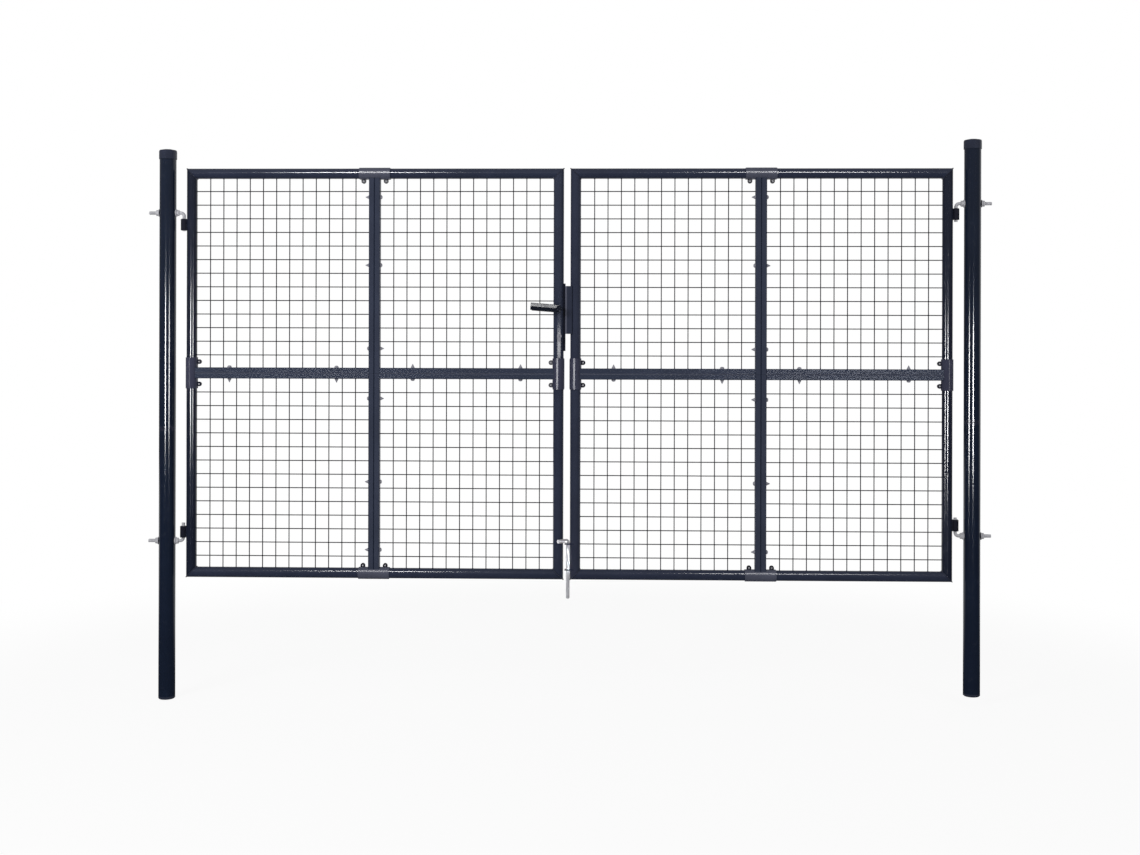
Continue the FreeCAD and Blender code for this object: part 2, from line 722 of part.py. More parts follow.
# Lock: a case with its forend in the left leaf's lock stile
def make_lock():
    case = new_body("lock_case")
    plate = new_sketch(case, "ForendLine", "YZ_Plane", "forend_thickness - forend_depth")
    draw_box(plate, "0 - forend_half_width", "0 - forend_height/2",
             "forend_half_width", "forend_height/2")
    add_pad(case, "Forend", plate, "forend_depth")
    seat = new_sketch(case, "ForendSeatLine", "XY_Plane")
    draw_circle(seat, "seat_radius", "0 - tube_radius - forend_gap")
    add_cut(case, "ForendSeat", seat, "2*forend_height")
    box = new_sketch(case, "CaseLine", "YZ_Plane")
    draw_box(box, "0 - case_half_width", "0 - case_height/2", "case_half_width", "case_height/2")
    add_pad(case, "Case", box, "case_depth", reverse=True)
    bore = new_sketch(case, "SpindleBoreLine", "XZ_Plane")
    draw_circle(bore, "spindle_radius + spindle_gap", "0 - lever_inset - forend_gap", "forend_raise")
    add_cut(case, "SpindleBore", bore, "4*case_half_width")
    key = new_sketch(case, "KeyBoreLine", "XZ_Plane")
    draw_circle(key, "key_radius + key_gap", "0 - lever_inset - forend_gap", "forend_raise - key_drop")
    add_cut(case, "KeyBore", key, "4*case_half_width")
    web = new_sketch(case, "KeyWebLine", "XZ_Plane")
    draw_box(web, "0 - lever_inset - forend_gap - key_web_half - key_gap", "web_low",
             "key_web_half + key_gap - lever_inset - forend_gap", "forend_raise - key_drop")
    add_cut(case, "KeyWeb", web, "4*case_half_width")
    place(case, x="forend_x", z="forend_z")
    nodes.append(case)

    stile = doc.getObject("left_leaf_lock_stile_a")
    pocket = new_sketch(stile, "StilePocketLine", "XZ_Plane")
    low = "leaf_top - forend_z - case_height/2 - case_gap"
    high = "leaf_top - forend_z + case_height/2 + case_gap"
    draw_box(pocket, "tube_radius - case_depth - case_gap", low, "tube_radius + past_edge", high)
    add_cut(stile, "StilePocket", pocket, "2*case_half_width + 2*case_gap")
    spindle = new_sketch(stile, "StileSpindleLine", "XZ_Plane")
    draw_circle(spindle, "spindle_radius + spindle_gap", "tube_radius - lever_inset", "lever_drop")
    add_cut(stile, "StileSpindle", spindle, "3*tube_radius")
    barrel = new_sketch(stile, "StileKeyLine", "XZ_Plane")
    draw_circle(barrel, "key_radius + key_gap", "tube_radius - lever_inset", "lever_drop + key_drop")
    add_cut(stile, "StileKey", barrel, "3*tube_radius")
    web = new_sketch(stile, "StileKeyWebLine", "XZ_Plane")
    draw_box(web, "tube_radius - lever_inset - key_web_half - key_gap", "lever_drop + key_drop",
             "tube_radius - lever_inset + key_web_half + key_gap",
             "lever_drop + key_drop + key_web_drop + key_gap")
    add_cut(stile, "StileKeyWeb", web, "3*tube_radius")

    barrel = new_body("key_cylinder")
    round_part = new_sketch(barrel, "KeyRound", "XZ_Plane")
    draw_circle(round_part, "key_radius")
    add_pad(barrel, "KeyBarrel", round_part, "2*key_half_length", middle=True)
    web = new_sketch(barrel, "KeyWebSection", "XZ_Plane")
    draw_box(web, "0 - key_web_half", "0 - key_web_drop", "key_web_half", "0")
    add_pad(barrel, "KeyBarrelWeb", web, "2*key_half_length", middle=True)
    place(barrel, x="lever_x", z="key_z")
    nodes.append(barrel)

    levers = new_body("lock_levers")
    opposite = {"+": "-", "-": "+"}
    spindle = new_sketch(levers, "SpindleLine", "XZ_Plane")
    draw_circle(spindle, "spindle_radius")
    add_pad(levers, "Spindle", spindle, "2*lever_standoff", middle=True)
    for label, sign, back in (("Front", "-", False), ("Rear", "+", True)):
        inner = "0 " + sign + " lever_standoff"
        outer = inner + " " + sign + " lever_thickness"
        shoulder = outer + " " + opposite[sign] + " lever_ridge"
        seat = "0 - tube_radius - hub_gap" if back else "tube_radius + hub_gap"
        hub = new_sketch(levers, label + "HubLine", "XZ_Plane", seat)
        draw_circle(hub, "hub_radius")
        depth = "lever_standoff + lever_thickness - tube_radius - hub_gap"
        add_pad(levers, label + "Hub", hub, depth, reverse=back)
        grip = new_sketch(levers, label + "GripLine", "YZ_Plane")
        draw_shape(grip, [
            (inner, "lever_ridge - lever_half_height"),
            (inner, "lever_half_height - lever_ridge"),
            (inner + " " + sign + " lever_ridge/2", "lever_half_height"),
            (shoulder, "lever_half_height"),
            (shoulder + " " + sign + " lever_ridge/2", "lever_half_height - lever_ridge/2"),
            (outer, "0"),
            (shoulder + " " + sign + " lever_ridge/2", "lever_ridge/2 - lever_half_height"),
            (shoulder, "0 - lever_half_height"),
            (inner + " " + sign + " lever_ridge/2", "0 - lever_half_height"),
        ])
        add_pad(levers, label + "Grip", grip, "lever_reach", reverse=True)
    place(levers, x="lever_x", z="lever_z", turn=Rotation(BACK, number("lever_tilt")))
    bind(levers, "Placement.Rotation.Angle", "lever_tilt")
    nodes.append(levers)

    # The keep's front lip stops the left leaf and hides the gap in front of the forend
    keep = new_body("lock_keep")
    block = new_sketch(keep, "KeepLine", "XY_Plane")
    draw_shape(block, [
        ("0", "keep_half_width"),
        ("0 - keep_face", "keep_half_width"),
        ("0 - keep_face", "0 - lip_back"),
        ("0 - lip_edge", "0 - lip_back"),
        ("0 - lip_edge", "lip_chamfer - lip_front"),
        ("lip_chamfer - lip_edge", "0 - lip_front"),
        ("0 - lip_end", "0 - lip_front"),
        ("0 - lip_end", "0 - keep_half_width"),
        ("0", "0 - keep_half_width"),
    ])
    add_pad(keep, "KeepBlock", block, "keep_height", middle=True)
    cope = new_sketch(keep, "KeepCopeLine", "XY_Plane")
    draw_circle(cope, "seat_radius")
    add_cut(keep, "KeepCope", cope, "2*keep_height")
    place(keep, x="right_leaf_x + tube_radius", z="keep_z")
    nodes.append(keep)


# Drop bolt: a bent rod sliding in two guides on the right leaf's lock stile
def make_drop_bolt():
    rod = new_body("drop_bolt_rod")
    path = new_sketch(rod, "DropPath", "XZ_Plane")
    tip = new_sketch(rod, "DropTipProfile", "XZ_Plane")
    draw_shape(tip, [
        ("0", "0"),
        ("drop_tip_radius - drop_tip_round", "0"),
        ("drop_tip_radius - drop_tip_round/3", "drop_tip_round/3"),
        ("drop_tip_radius", "drop_tip_round"),
        ("drop_tip_radius", "drop_tip_length"),
        ("0", "drop_tip_length"),
    ])
    add_turning(rod, "DropTip", tip)
    start = number("drop_tip_length")
    length = number("drop_rod_length")
    bend_size = number("drop_rod_bend")
    reach = number("drop_handle_length")
    straight = Part.LineSegment(Vector(0, start, 0), Vector(0, length - bend_size, 0))
    first = path.addGeometry(straight, False)
    bend = path.addGeometry(quarter_turn(-bend_size, length - bend_size, bend_size), False)
    last = path.addGeometry(Part.LineSegment(
        Vector(-bend_size, length, 0), Vector(-reach, length, 0)), False)
    path.addConstraint(Sketcher.Constraint("PointOnObject", first, 1, -2))
    path.addConstraint(Sketcher.Constraint("Vertical", first))
    path.addConstraint(Sketcher.Constraint("Horizontal", last))
    path.addConstraint(Sketcher.Constraint("Tangent", first, 2, bend, 1))
    path.addConstraint(Sketcher.Constraint("Tangent", bend, 2, last, 1))
    held = path.addConstraint(Sketcher.Constraint("DistanceY", -1, 1, first, 1, start))
    bind(path, "Constraints[%d]" % held, "drop_tip_length")
    held = path.addConstraint(Sketcher.Constraint("Radius", bend, bend_size))
    bind(path, "Constraints[%d]" % held, "drop_rod_bend")
    held = path.addConstraint(Sketcher.Constraint("DistanceY", -1, 1, last, 2, length))
    bind(path, "Constraints[%d]" % held, "drop_rod_length")
    held = path.addConstraint(Sketcher.Constraint("DistanceX", last, 2, -1, 1, reach))
    bind(path, "Constraints[%d]" % held, "drop_handle_length")
    section = new_sketch(rod, "DropSection", "XY_Plane", "drop_tip_length")
    draw_circle(section, "drop_rod_radius")
    doc.recompute()
    pipe = rod.newObject("PartDesign::AdditivePipe", "DropPipe")
    pipe.Profile = section
    pipe.Spine = path
    doc.recompute()
    place(rod, x="drop_rod_x", y="0 - drop_rod_front", z="drop_rod_foot",
          turn=Rotation(UP, number("drop_handle_turn")))
    bind(rod, "Placement.Rotation.Angle", "drop_handle_turn")
    nodes.append(rod)

    guides = []
    for label, low in (("low", "guide_low_bottom"), ("high", "guide_high_bottom")):
        guide = new_body("drop_bolt_guide_" + label)
        line = new_sketch(guide, label + "GuideLine", "XY_Plane")
        draw_box(line, "0 - guide_bore - guide_wall", "0 - guide_half_depth",
                 "guide_end", "guide_half_depth")
        add_pad(guide, label + "Guide", line, "guide_thickness")
        bore = new_sketch(guide, label + "GuideBoreLine", "XY_Plane")
        draw_circle(bore, "guide_bore")
        add_cut(guide, label + "GuideBore", bore, "4*guide_thickness")
        cope = new_sketch(guide, label + "GuideCopeLine", "XY_Plane")
        draw_circle(cope, "seat_radius", "drop_rod_to_leaf + tube_radius", "drop_rod_front")
        add_cut(guide, label + "GuideCope", cope, "4*guide_thickness")
        place(guide, x="drop_rod_x", y="0 - drop_rod_front", z="leaf_bottom + " + low)
        guides.append(guide)
    nodes.append(add_group("drop_bolt_guides", guides))


make_post("left", "0", "0")
make_post("right", "post_spacing", "post_rise")
make_hooks("left", "0", "0")
make_hooks("right", "post_spacing", "post_rise")
make_leaf("left", "left_leaf_x", "left_middle", "pin_x", "left_high_lug", "left_low_lug")
make_leaf("right", "right_leaf_x", "right_middle", "right_pin_x", "right_high_lug", "right_low_lug")
make_lock()
make_drop_bolt()
doc.recompute()

for thing in doc.Objects:
    if "Invalid" in thing.State or "Error" in thing.State:
        raise ValueError("not computed: " + thing.Label)
for node in nodes:
    if node.Shape.isNull() or not node.Shape.isValid():
        raise ValueError("not valid: " + node.Label)
    node.Shape.exportStep("parts/" + node.Label + ".step")
    print(node.Label, len(node.Shape.Solids), round(node.Shape.Volume))
print("nodes", len(nodes))
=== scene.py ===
import bpy
import bmesh
from math import cos, pi, radians, sin, sqrt, tau
from mathutils import Matrix, Vector


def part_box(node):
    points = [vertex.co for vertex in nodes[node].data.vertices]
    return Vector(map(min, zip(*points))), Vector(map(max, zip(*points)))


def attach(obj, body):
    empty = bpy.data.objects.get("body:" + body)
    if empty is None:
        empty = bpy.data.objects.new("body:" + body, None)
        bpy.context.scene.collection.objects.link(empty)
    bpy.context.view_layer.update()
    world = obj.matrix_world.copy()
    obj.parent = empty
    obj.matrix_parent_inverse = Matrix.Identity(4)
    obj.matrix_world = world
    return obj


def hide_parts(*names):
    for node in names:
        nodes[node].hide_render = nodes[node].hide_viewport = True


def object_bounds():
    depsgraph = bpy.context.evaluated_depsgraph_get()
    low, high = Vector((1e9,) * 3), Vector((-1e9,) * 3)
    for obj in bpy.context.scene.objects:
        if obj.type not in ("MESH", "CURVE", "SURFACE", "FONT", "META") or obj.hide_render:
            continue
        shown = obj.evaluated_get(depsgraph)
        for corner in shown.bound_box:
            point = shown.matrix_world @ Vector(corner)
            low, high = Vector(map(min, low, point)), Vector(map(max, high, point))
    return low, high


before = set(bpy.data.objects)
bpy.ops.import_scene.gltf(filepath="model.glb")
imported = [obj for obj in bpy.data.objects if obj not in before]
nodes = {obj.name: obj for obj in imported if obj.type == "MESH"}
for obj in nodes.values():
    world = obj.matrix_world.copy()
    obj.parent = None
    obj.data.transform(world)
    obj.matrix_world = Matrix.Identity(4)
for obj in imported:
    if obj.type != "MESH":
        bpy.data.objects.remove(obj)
cad_low, cad_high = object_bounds()

MM = 0.001
SIDES = ("left", "right")
PANELS = ("low_left", "low_right", "high_left", "high_right")

# Measures of the solids that the added pieces sit on
TUBE = 19.0 * MM
BAR_HALF_WIDTH = 20.25 * MM
BAR_HALF_DEPTH = 15.0 * MM
EAR_OFFSET = 41.0 * MM
EAR_REACH = 27.8 * MM
EAR_HALF = 4.0 * MM
LUG_HEIGHT = 42.0 * MM
LUG_REACH = 17.6 * MM
HOOK_RADIUS = 6.0 * MM
THREAD_START = 43.2 * MM
THREAD_LENGTH = 23.5 * MM
KEY_BELOW_TOP = 8.5 * MM

# The wire panels: wires across and up, and how far apart they are
WIRES_ACROSS = 12
WIRES_UP = 13
PITCH_ACROSS = 48.7 * MM
PITCH_UP = 50.0 * MM
WIRE_RADIUS = 1.8 * MM
WIRE_LAYER = 1.5 * MM
WIRE_SINK = 0.6 * MM
LOW_PANEL_DROP = 4.3 * MM

# Radii of the weld beads
MITRE_BEAD = 1.7 * MM
SADDLE_BEAD = 1.5 * MM
LUG_BEAD = 1.6 * MM

# Where the bolts of the bars sit, and which of them show their tip on the left or below
BOLTS_BELOW_TOP = (0.105, 0.354, 0.659)
BOLTS_ABOVE_BOTTOM = (0.658, 0.353, 0.104)
BOLTS_FROM_EDGE = (0.158, 0.553)
TIPS_LEFT = {"left": (True, True, False, False, True, True),
             "right": (True, False, True, True, False, True)}
TIPS_DOWN = {"left": (True, True, False, False), "right": (False, True, True, False)}


# A wrapped socket, so that finishes read as sums
class Amount:
    def __init__(self, tree, socket):
        self.tree = tree
        self.socket = socket

    def step(self, operation, first, second):
        return self.tree.node("ShaderNodeMath", {"operation": operation}, {0: first, 1: second})

    def __add__(self, other):
        return self.step("ADD", self, other)

    def __radd__(self, other):
        return self.step("ADD", other, self)

    def __sub__(self, other):
        return self.step("SUBTRACT", self, other)

    def __rsub__(self, other):
        return self.step("SUBTRACT", other, self)

    def __mul__(self, other):
        return self.step("MULTIPLY", self, other)

    def __rmul__(self, other):
        return self.step("MULTIPLY", other, self)

    def size(self):
        return self.step("ABSOLUTE", self, 0.0)

    def least(self, other):
        return self.step("MINIMUM", self, other)

    def spread(self, low, high):
        settings = {"interpolation_type": "SMOOTHSTEP"}
        values = {"Value": self, "From Min": low, "From Max": high}
        return self.tree.node("ShaderNodeMapRange", settings, values)


class Tree:
    def __init__(self, tree):
        self.tree = tree

    def node(self, kind, settings=None, values=None, output=0):
        made = self.tree.nodes.new(kind)
        for key, value in (settings or {}).items():
            setattr(made, key, value)
        for key, value in (values or {}).items():
            self.feed(made.inputs[key], value)
        return Amount(self, made.outputs[output])

    def feed(self, socket, value):
        if isinstance(value, Amount):
            self.tree.links.new(value.socket, socket)
        else:
            socket.default_value = value

    def part(self, vector, axis):
        return self.node("ShaderNodeSeparateXYZ", None, {0: vector}, axis)


class Finish(Tree):
    def __init__(self, name, roughness, metallic=0.0, specular=0.5):
        self.material = bpy.data.materials.new(name)
        self.material.use_nodes = True
        super().__init__(self.material.node_tree)
        self.shader = self.tree.nodes["Principled BSDF"]
        self.shader.inputs["Roughness"].default_value = roughness
        self.shader.inputs["Metallic"].default_value = metallic
        self.shader.inputs["Specular IOR Level"].default_value = specular

    def place(self):
        return self.node("ShaderNodeTexCoord", output="Object")

    def noise(self, scale, detail, rough):
        values = {"Vector": self.place(), "Scale": scale, "Detail": detail, "Roughness": rough}
        return self.node("ShaderNodeTexNoise", None, values)

    def from_lines(self, axis, middles):
        along = self.part(self.place(), axis)
        nearest, *others = [(along - middle).size() for middle in middles]
        for gap in others:
            nearest = nearest.least(gap)
        return nearest

    def blend(self, share, first, second):
        made = self.tree.nodes.new("ShaderNodeMix")
        made.data_type = "RGBA"
        colours = [socket for socket in made.inputs if socket.type == "RGBA"]
        self.feed(made.inputs[0], share)
        self.feed(colours[0], (*first, 1.0) if isinstance(first, tuple) else first)
        self.feed(colours[1], (*second, 1.0) if isinstance(second, tuple) else second)
        answer = [socket for socket in made.outputs if socket.type == "RGBA"]
        return Amount(self, answer[0])

    def wear(self, colour, roughness=None, grain=None):
        self.feed(self.shader.inputs["Base Color"], colour)
        if roughness is not None:
            self.feed(self.shader.inputs["Roughness"], roughness)
        if grain is not None:
            values = {"Height": grain, "Distance": 0.04 * MM, "Strength": 0.2}
            bump = self.node("ShaderNodeBump", None, values)
            self.feed(self.shader.inputs["Normal"], bump)
        return self.material


# Finishes
def toned(colour, share):
    return tuple(share * part for part in colour)


# Marks are lines or ears in another colour: painted highlights and painted shade. A seam is a
# rougher ring round a post, with pale specks as a painted highlight
def powder_coat(name, colour, gloss, specular=0.3, painted_light_marks=None, seam=None):
    coat = Finish(name, gloss, specular=specular)
    cloud = coat.noise(7.0, 4.0, 0.6).spread(0.3, 0.72)
    dust = coat.noise(45.0, 5.0, 0.65).spread(0.56, 0.8)
    paint = coat.blend(cloud, toned(colour, 0.84), colour)
    paint = coat.blend(dust * 0.1, paint, (0.1, 0.11, 0.14))
    if painted_light_marks is not None:
        axis, middles, near, far, painted_light_colour = painted_light_marks
        paint = coat.blend(coat.from_lines(axis, middles).spread(near, far), painted_light_colour, paint)
    rough = gloss + 0.02 * cloud + 0.05 * dust
    if seam is not None:
        near_seam = 1 - coat.from_lines("Z", [seam]).spread(4.0 * MM, 12.0 * MM)
        seam_specks = coat.noise(70.0, 3.0, 0.6).spread(0.35, 0.65)
        rough = rough + 0.12 * near_seam * seam_specks
        # Pale specks blended in near the seam are a painted highlight, where light catches the
        # joint
        paint = coat.blend(near_seam * seam_specks * 0.3, paint, (0.075, 0.07, 0.115))
    return coat.wear(paint, rough)


def zinc_plate(name, colour, rough=0.34, metallic=0.4):
    plate = Finish(name, rough, metallic)
    bloom = plate.noise(60.0, 3.0, 0.5).spread(0.3, 0.7)
    tone = plate.blend(bloom, toned(colour, 0.84), colour)
    return plate.wear(tone, rough + 0.08 * (1 - bloom))


# The keep's steel, with a painted highlight: a paler strip along its edge towards the lock, where
# a rounded edge would catch the light
def keep_edge_highlight(name, colour, highlight_colour):
    steel = Finish(name, 0.35, specular=0.35)
    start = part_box("lock_keep")[0].x
    edge = 1 - steel.part(steel.place(), "X").spread(start + 4.0 * MM, start + 7.5 * MM)
    return steel.wear(steel.blend(edge, colour, highlight_colour))


def moulded(name, colour, rough, specular=0.35):
    skin = Finish(name, rough, specular=specular)
    cloud = skin.noise(35.0, 3.0, 0.5).spread(0.3, 0.8)
    grain = skin.noise(700.0, 1.0, 0.5)
    return skin.wear(skin.blend(cloud, colour, toned(colour, 1.25)), rough + 0.08 * cloud, grain)


def middles_of(axis, *names):
    lines = []
    for side in SIDES:
        for name in names:
            low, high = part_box(side + "_leaf_" + name)
            lines.append((low[axis] + high[axis]) / 2)
    return lines


stile_lines = middles_of(0, "hinge_stile", "lock_stile")
rail_lines = middles_of(2, "top_rail", "bottom_rail")
mullion_lines = middles_of(0, "mullion")
crossbar_lines = middles_of(2, "crossbar")
BEYOND_TUBE = (22.5 * MM, 21.5 * MM)
# The gate has one powder coat, yet each group of parts gets its own tone of it, darkest on the
# posts and hinge stiles and palest on the crossbars and mullions: lit and shaded copies of one
# paint, that is painted light and painted shade
hinge_stile_paint = powder_coat("hinge_stile_paint", (0.013, 0.017, 0.034), 0.15)
tube_paint = powder_coat("tube_paint", (0.032, 0.039, 0.069), 0.13)
keep_stile_paint = powder_coat("keep_stile_paint", (0.031, 0.038, 0.068), 0.42)
rail_paint = powder_coat("rail_paint", (0.029, 0.036, 0.065), 0.13)
# A paler line along the middle of each crossbar is a painted highlight; a darker line down the
# middle of each mullion is painted shade
crossbar_paint = powder_coat("crossbar_paint", (0.036, 0.046, 0.08), 0.45, 0.3,
                             ("Z", crossbar_lines, 0.8 * MM, 3.4 * MM, (0.1, 0.11, 0.155)))
mullion_paint = powder_coat("mullion_paint", (0.04, 0.049, 0.082), 0.45, 0.3,
                            ("X", mullion_lines, 0.8 * MM, 3.0 * MM, (0.02, 0.028, 0.054)))
# The clamps' ears, beyond the tube, are painted near black: painted shade on the flat ears
clamp_paint = powder_coat("clamp_paint", (0.05, 0.053, 0.088), 0.19, 0.34,
                          ("X", stile_lines, *BEYOND_TUBE, (0.008, 0.009, 0.02)))
rail_clamp_paint = powder_coat("rail_clamp_paint", (0.085, 0.092, 0.132), 0.3, 0.4,
                               ("Z", rail_lines, *BEYOND_TUBE, (0.006, 0.007, 0.016)))
lug_paint = powder_coat("lug_paint", (0.013, 0.014, 0.025), 0.24)
wire_paint = powder_coat("wire_paint", (0.012, 0.013, 0.02), 0.5, 0.1)
weld_paint = powder_coat("weld_paint", (0.028, 0.032, 0.055), 0.3, 0.5)
cap_skin = moulded("cap_skin", (0.022, 0.027, 0.048), 0.36)
lock_steel = powder_coat("lock_steel", (0.008, 0.01, 0.022), 0.4, 0.25)
keep_steel = keep_edge_highlight("keep_steel", (0.027, 0.033, 0.058), (0.105, 0.11, 0.15))
lever_skin = moulded("lever_skin", (0.008, 0.01, 0.018), 0.2, 0.4)
zinc = zinc_plate("zinc", (0.66, 0.66, 0.7), 0.34, 0.25)
rod_zinc = zinc_plate("rod_zinc", (0.6, 0.6, 0.64), 0.34, 0.2)
screw_zinc = zinc_plate("screw_zinc", (0.4, 0.4, 0.46), 0.4, 0.2)
nickel = zinc_plate("nickel", (0.46, 0.46, 0.52), 0.3)
keyway_shade = moulded("keyway_shade", (0.004, 0.004, 0.006), 0.7)


def dress(material, *names):
    for name in names:
        node = nodes[name]
        if not node.material_slots:
            node.data.materials.append(material)
        for held in node.material_slots:
            held.material = material


for side in SIDES:
    dress(cap_skin, side + "_post_foot", side + "_post_cap")
    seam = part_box(side + "_post_lower")[1].z
    # The posts get the darkest copy of the gate's one paint: painted shade
    post_paint = powder_coat(side + "_post_paint", (0.009, 0.015, 0.033), 0.13, seam=seam)
    dress(post_paint, side + "_post_lower", side + "_post_upper")
    dress(zinc, side + "_hinge_hooks", side + "_hinge_nuts")
    leaf = side + "_leaf_"
    dress(hinge_stile_paint, leaf + "hinge_stile")
    dress(rail_paint, leaf + "top_rail", leaf + "bottom_rail")
    dress(mullion_paint, leaf + "mullion")
    dress(crossbar_paint, leaf + "crossbar")
    dress(clamp_paint, leaf + "stile_clamps")
    dress(rail_clamp_paint, leaf + "rail_clamps")
    dress(lug_paint, leaf + "hinge_lugs")
    dress(wire_paint, *[leaf + "mesh_" + part for part in PANELS])
dress(tube_paint, "left_leaf_lock_stile", "drop_bolt_guides")
dress(keep_stile_paint, "right_leaf_lock_stile")
dress(lock_steel, "lock_case")
dress(keep_steel, "lock_keep")
dress(nickel, "key_cylinder")
dress(lever_skin, "lock_levers")
dress(rod_zinc, "drop_bolt_rod")


# Shapes
def turned_to(point, axis):
    turn = Vector(axis).to_track_quat("Z", "Y").to_matrix().to_4x4()
    return Matrix.Translation(Vector(point)) @ turn


def straight_bar(bm, radius, start, end):
    start = Vector(start)
    end = Vector(end)
    spot = turned_to((start + end) / 2, end - start)
    bmesh.ops.create_cone(bm, cap_ends=True, segments=10, radius1=radius, radius2=radius,
                          depth=(end - start).length, matrix=spot)


def as_pattern(bm):
    pattern = bpy.data.meshes.new("pattern")
    bm.to_mesh(pattern)
    bm.free()
    return pattern


# A turned shape, from its outline in millimetres
def spun(profile, sides=18):
    bm = bmesh.new()
    corners = [bm.verts.new((radius * MM, 0.0, height * MM)) for radius, height in profile]
    lines = [bm.edges.new(pair) for pair in zip(corners, corners[1:])]
    bmesh.ops.spin(bm, geom=corners + lines, cent=(0, 0, 0), axis=(0, 0, 1), angle=tau,
                   steps=sides, use_merge=True)
    bmesh.ops.remove_doubles(bm, verts=bm.verts, dist=0.000001)
    bmesh.ops.recalc_face_normals(bm, faces=bm.faces)
    return as_pattern(bm)


def add_copy(bm, pattern, spot):
    count = len(bm.verts)
    bm.from_mesh(pattern)
    bm.verts.ensure_lookup_table()
    bmesh.ops.transform(bm, matrix=spot, verts=bm.verts[count:])


def hand_over(bm, name, material, body, replaced=(), crease=35.0):
    mesh = bpy.data.meshes.new(name)
    bm.to_mesh(mesh)
    bm.free()
    mesh.shade_smooth()
    mesh.set_sharp_from_angle(angle=radians(crease))
    mesh.materials.append(material)
    piece = bpy.data.objects.new(name, mesh)
    bpy.context.scene.collection.objects.link(piece)
    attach(piece, body)
    if replaced:
        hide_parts(*replaced)


# Small parts that repeat
def hex_prism(across, height, chamfer):
    bm = bmesh.new()
    radius = across / cos(pi / 6) / 2
    bmesh.ops.create_cone(bm, cap_ends=True, segments=6, radius1=radius, radius2=radius,
                          depth=height, matrix=Matrix.Translation((0, 0, height / 2)))
    top = [edge for edge in bm.edges if all(v.co.z > height * 0.9 for v in edge.verts)]
    bmesh.ops.bevel(bm, geom=top, offset=chamfer, affect="EDGES", segments=2, profile=0.5,
                    material=-1)
    return as_pattern(bm)


def drop_of_weld(level):
    bm = bmesh.new()
    bmesh.ops.create_icosphere(bm, subdivisions=level, radius=1.0)
    return as_pattern(bm)


def stretched(point, across, deep, up):
    return Matrix.Translation(point) @ Matrix.Diagonal((across, deep, up, 1.0))


bolt_head = spun([(0, 7.6), (3.4, 7.2), (6.2, 5.6), (7.7, 3.0), (8.1, 0.8), (8.1, 0.0), (0, 0.0)])
bolt_tip = spun([(0, 14.5), (1.2, 13.8), (3.4, 9.0), (5.6, 4.4), (7.2, 1.6), (7.4, 0.0), (0, 0.0)])
ear_screw = spun([(0, 1.0), (1.2, 1.0), (1.5, 2.0), (2.4, 1.9), (3.1, 1.0), (3.3, 0.0), (0, 0.0)],
                 14)
ear_nut = hex_prism(8.0 * MM, 3.6 * MM, 0.5 * MM)
ear_shank = spun([(0, 13.0), (2.6, 13.0), (3.0, 12.4), (3.0, 0.0), (0, 0.0)], 14)
plate_screw = spun([(0, 0.25), (2.6, 0.3), (3.2, 0.0), (0, 0.0)], 14)
key_plug = spun([(0, 0.5), (5.4, 0.5), (6.1, 0.0), (0, 0.0)], 20)
crossing_drop = drop_of_weld(1)
bead_drop = drop_of_weld(2)


# Welded wire panels: round wires in two layers, a drop of weld at each crossing and end
def wire_panel(side, part):
    node = side + "_leaf_mesh_" + part
    low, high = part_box(node)
    first_x = low.x + (high.x - low.x - (WIRES_ACROSS - 1) * PITCH_ACROSS) / 2
    first_z = low.z + (high.z - low.z - (WIRES_UP - 1) * PITCH_UP) / 2
    if part.startswith("low"):
        first_z = first_z - LOW_PANEL_DROP
    columns = [first_x + step * PITCH_ACROSS for step in range(WIRES_ACROSS)]
    rows = [first_z + step * PITCH_UP for step in range(WIRES_UP)]
    bm = bmesh.new()
    for x in columns:
        straight_bar(bm, WIRE_RADIUS, (x, -WIRE_LAYER, low.z - WIRE_SINK),
                     (x, -WIRE_LAYER, high.z + WIRE_SINK))
    for z in rows:
        straight_bar(bm, WIRE_RADIUS, (low.x - WIRE_SINK, WIRE_LAYER, z),
                     (high.x + WIRE_SINK, WIRE_LAYER, z))
    hand_over(bm, side + "_wires_" + part, wire_paint, side + "_leaf", [node])
    bm = bmesh.new()
    for x in columns:
        for z in rows:
            add_copy(bm, crossing_drop, stretched((x, 0, z), 1.9 * MM, 1.2 * MM, 1.9 * MM))
    ends = [(x, -WIRE_LAYER, z) for x in columns for z in (low.z, high.z)]
    ends += [(x, WIRE_LAYER, z) for z in rows for x in (low.x, high.x)]
    for end in ends:
        add_copy(bm, bead_drop, stretched(end, 2.6 * MM, 2.6 * MM, 2.2 * MM))
    hand_over(bm, side + "_wire_welds_" + part, weld_paint, side + "_leaf")


# A bead of weld: overlapping drops along a path
def weld_bead(bm, path, radius):
    for step, point in enumerate(path):
        size = radius * (1.0 + 0.14 * sin(step * 2.4) + 0.08 * sin(step * 5.1))
        add_copy(bm, bead_drop, stretched(point, size, size, size))


# Round a mitred corner of the frame
def mitre_path(corner_x, corner_z, toward_x, toward_z, radius, count=48):
    path = []
    for step in range(count):
        angle = tau * step / count
        reach = radius * cos(angle)
        path.append(Vector((corner_x + toward_x * reach, radius * sin(angle),
                            corner_z + toward_z * reach)))
    return path


# Round a bar's end, where it meets the curve of a frame tube
def saddle_path(point, along, across, half_width, half_depth, radius, count=9):
    path = []
    shares = [2.0 * step / (count - 1) - 1.0 for step in range(count)]
    for sign in (-1.0, 1.0):
        for share in shares:
            y = half_depth * share
            dip = sqrt(radius * radius - y * y)
            path.append(point + along * dip + across * (sign * half_width) + Vector((0, y, 0)))
        dip = sqrt(radius * radius - half_depth * half_depth)
        deep = Vector((0, sign * half_depth, 0))
        for share in shares:
            path.append(point + along * dip + across * (share * half_width) + deep)
    return path


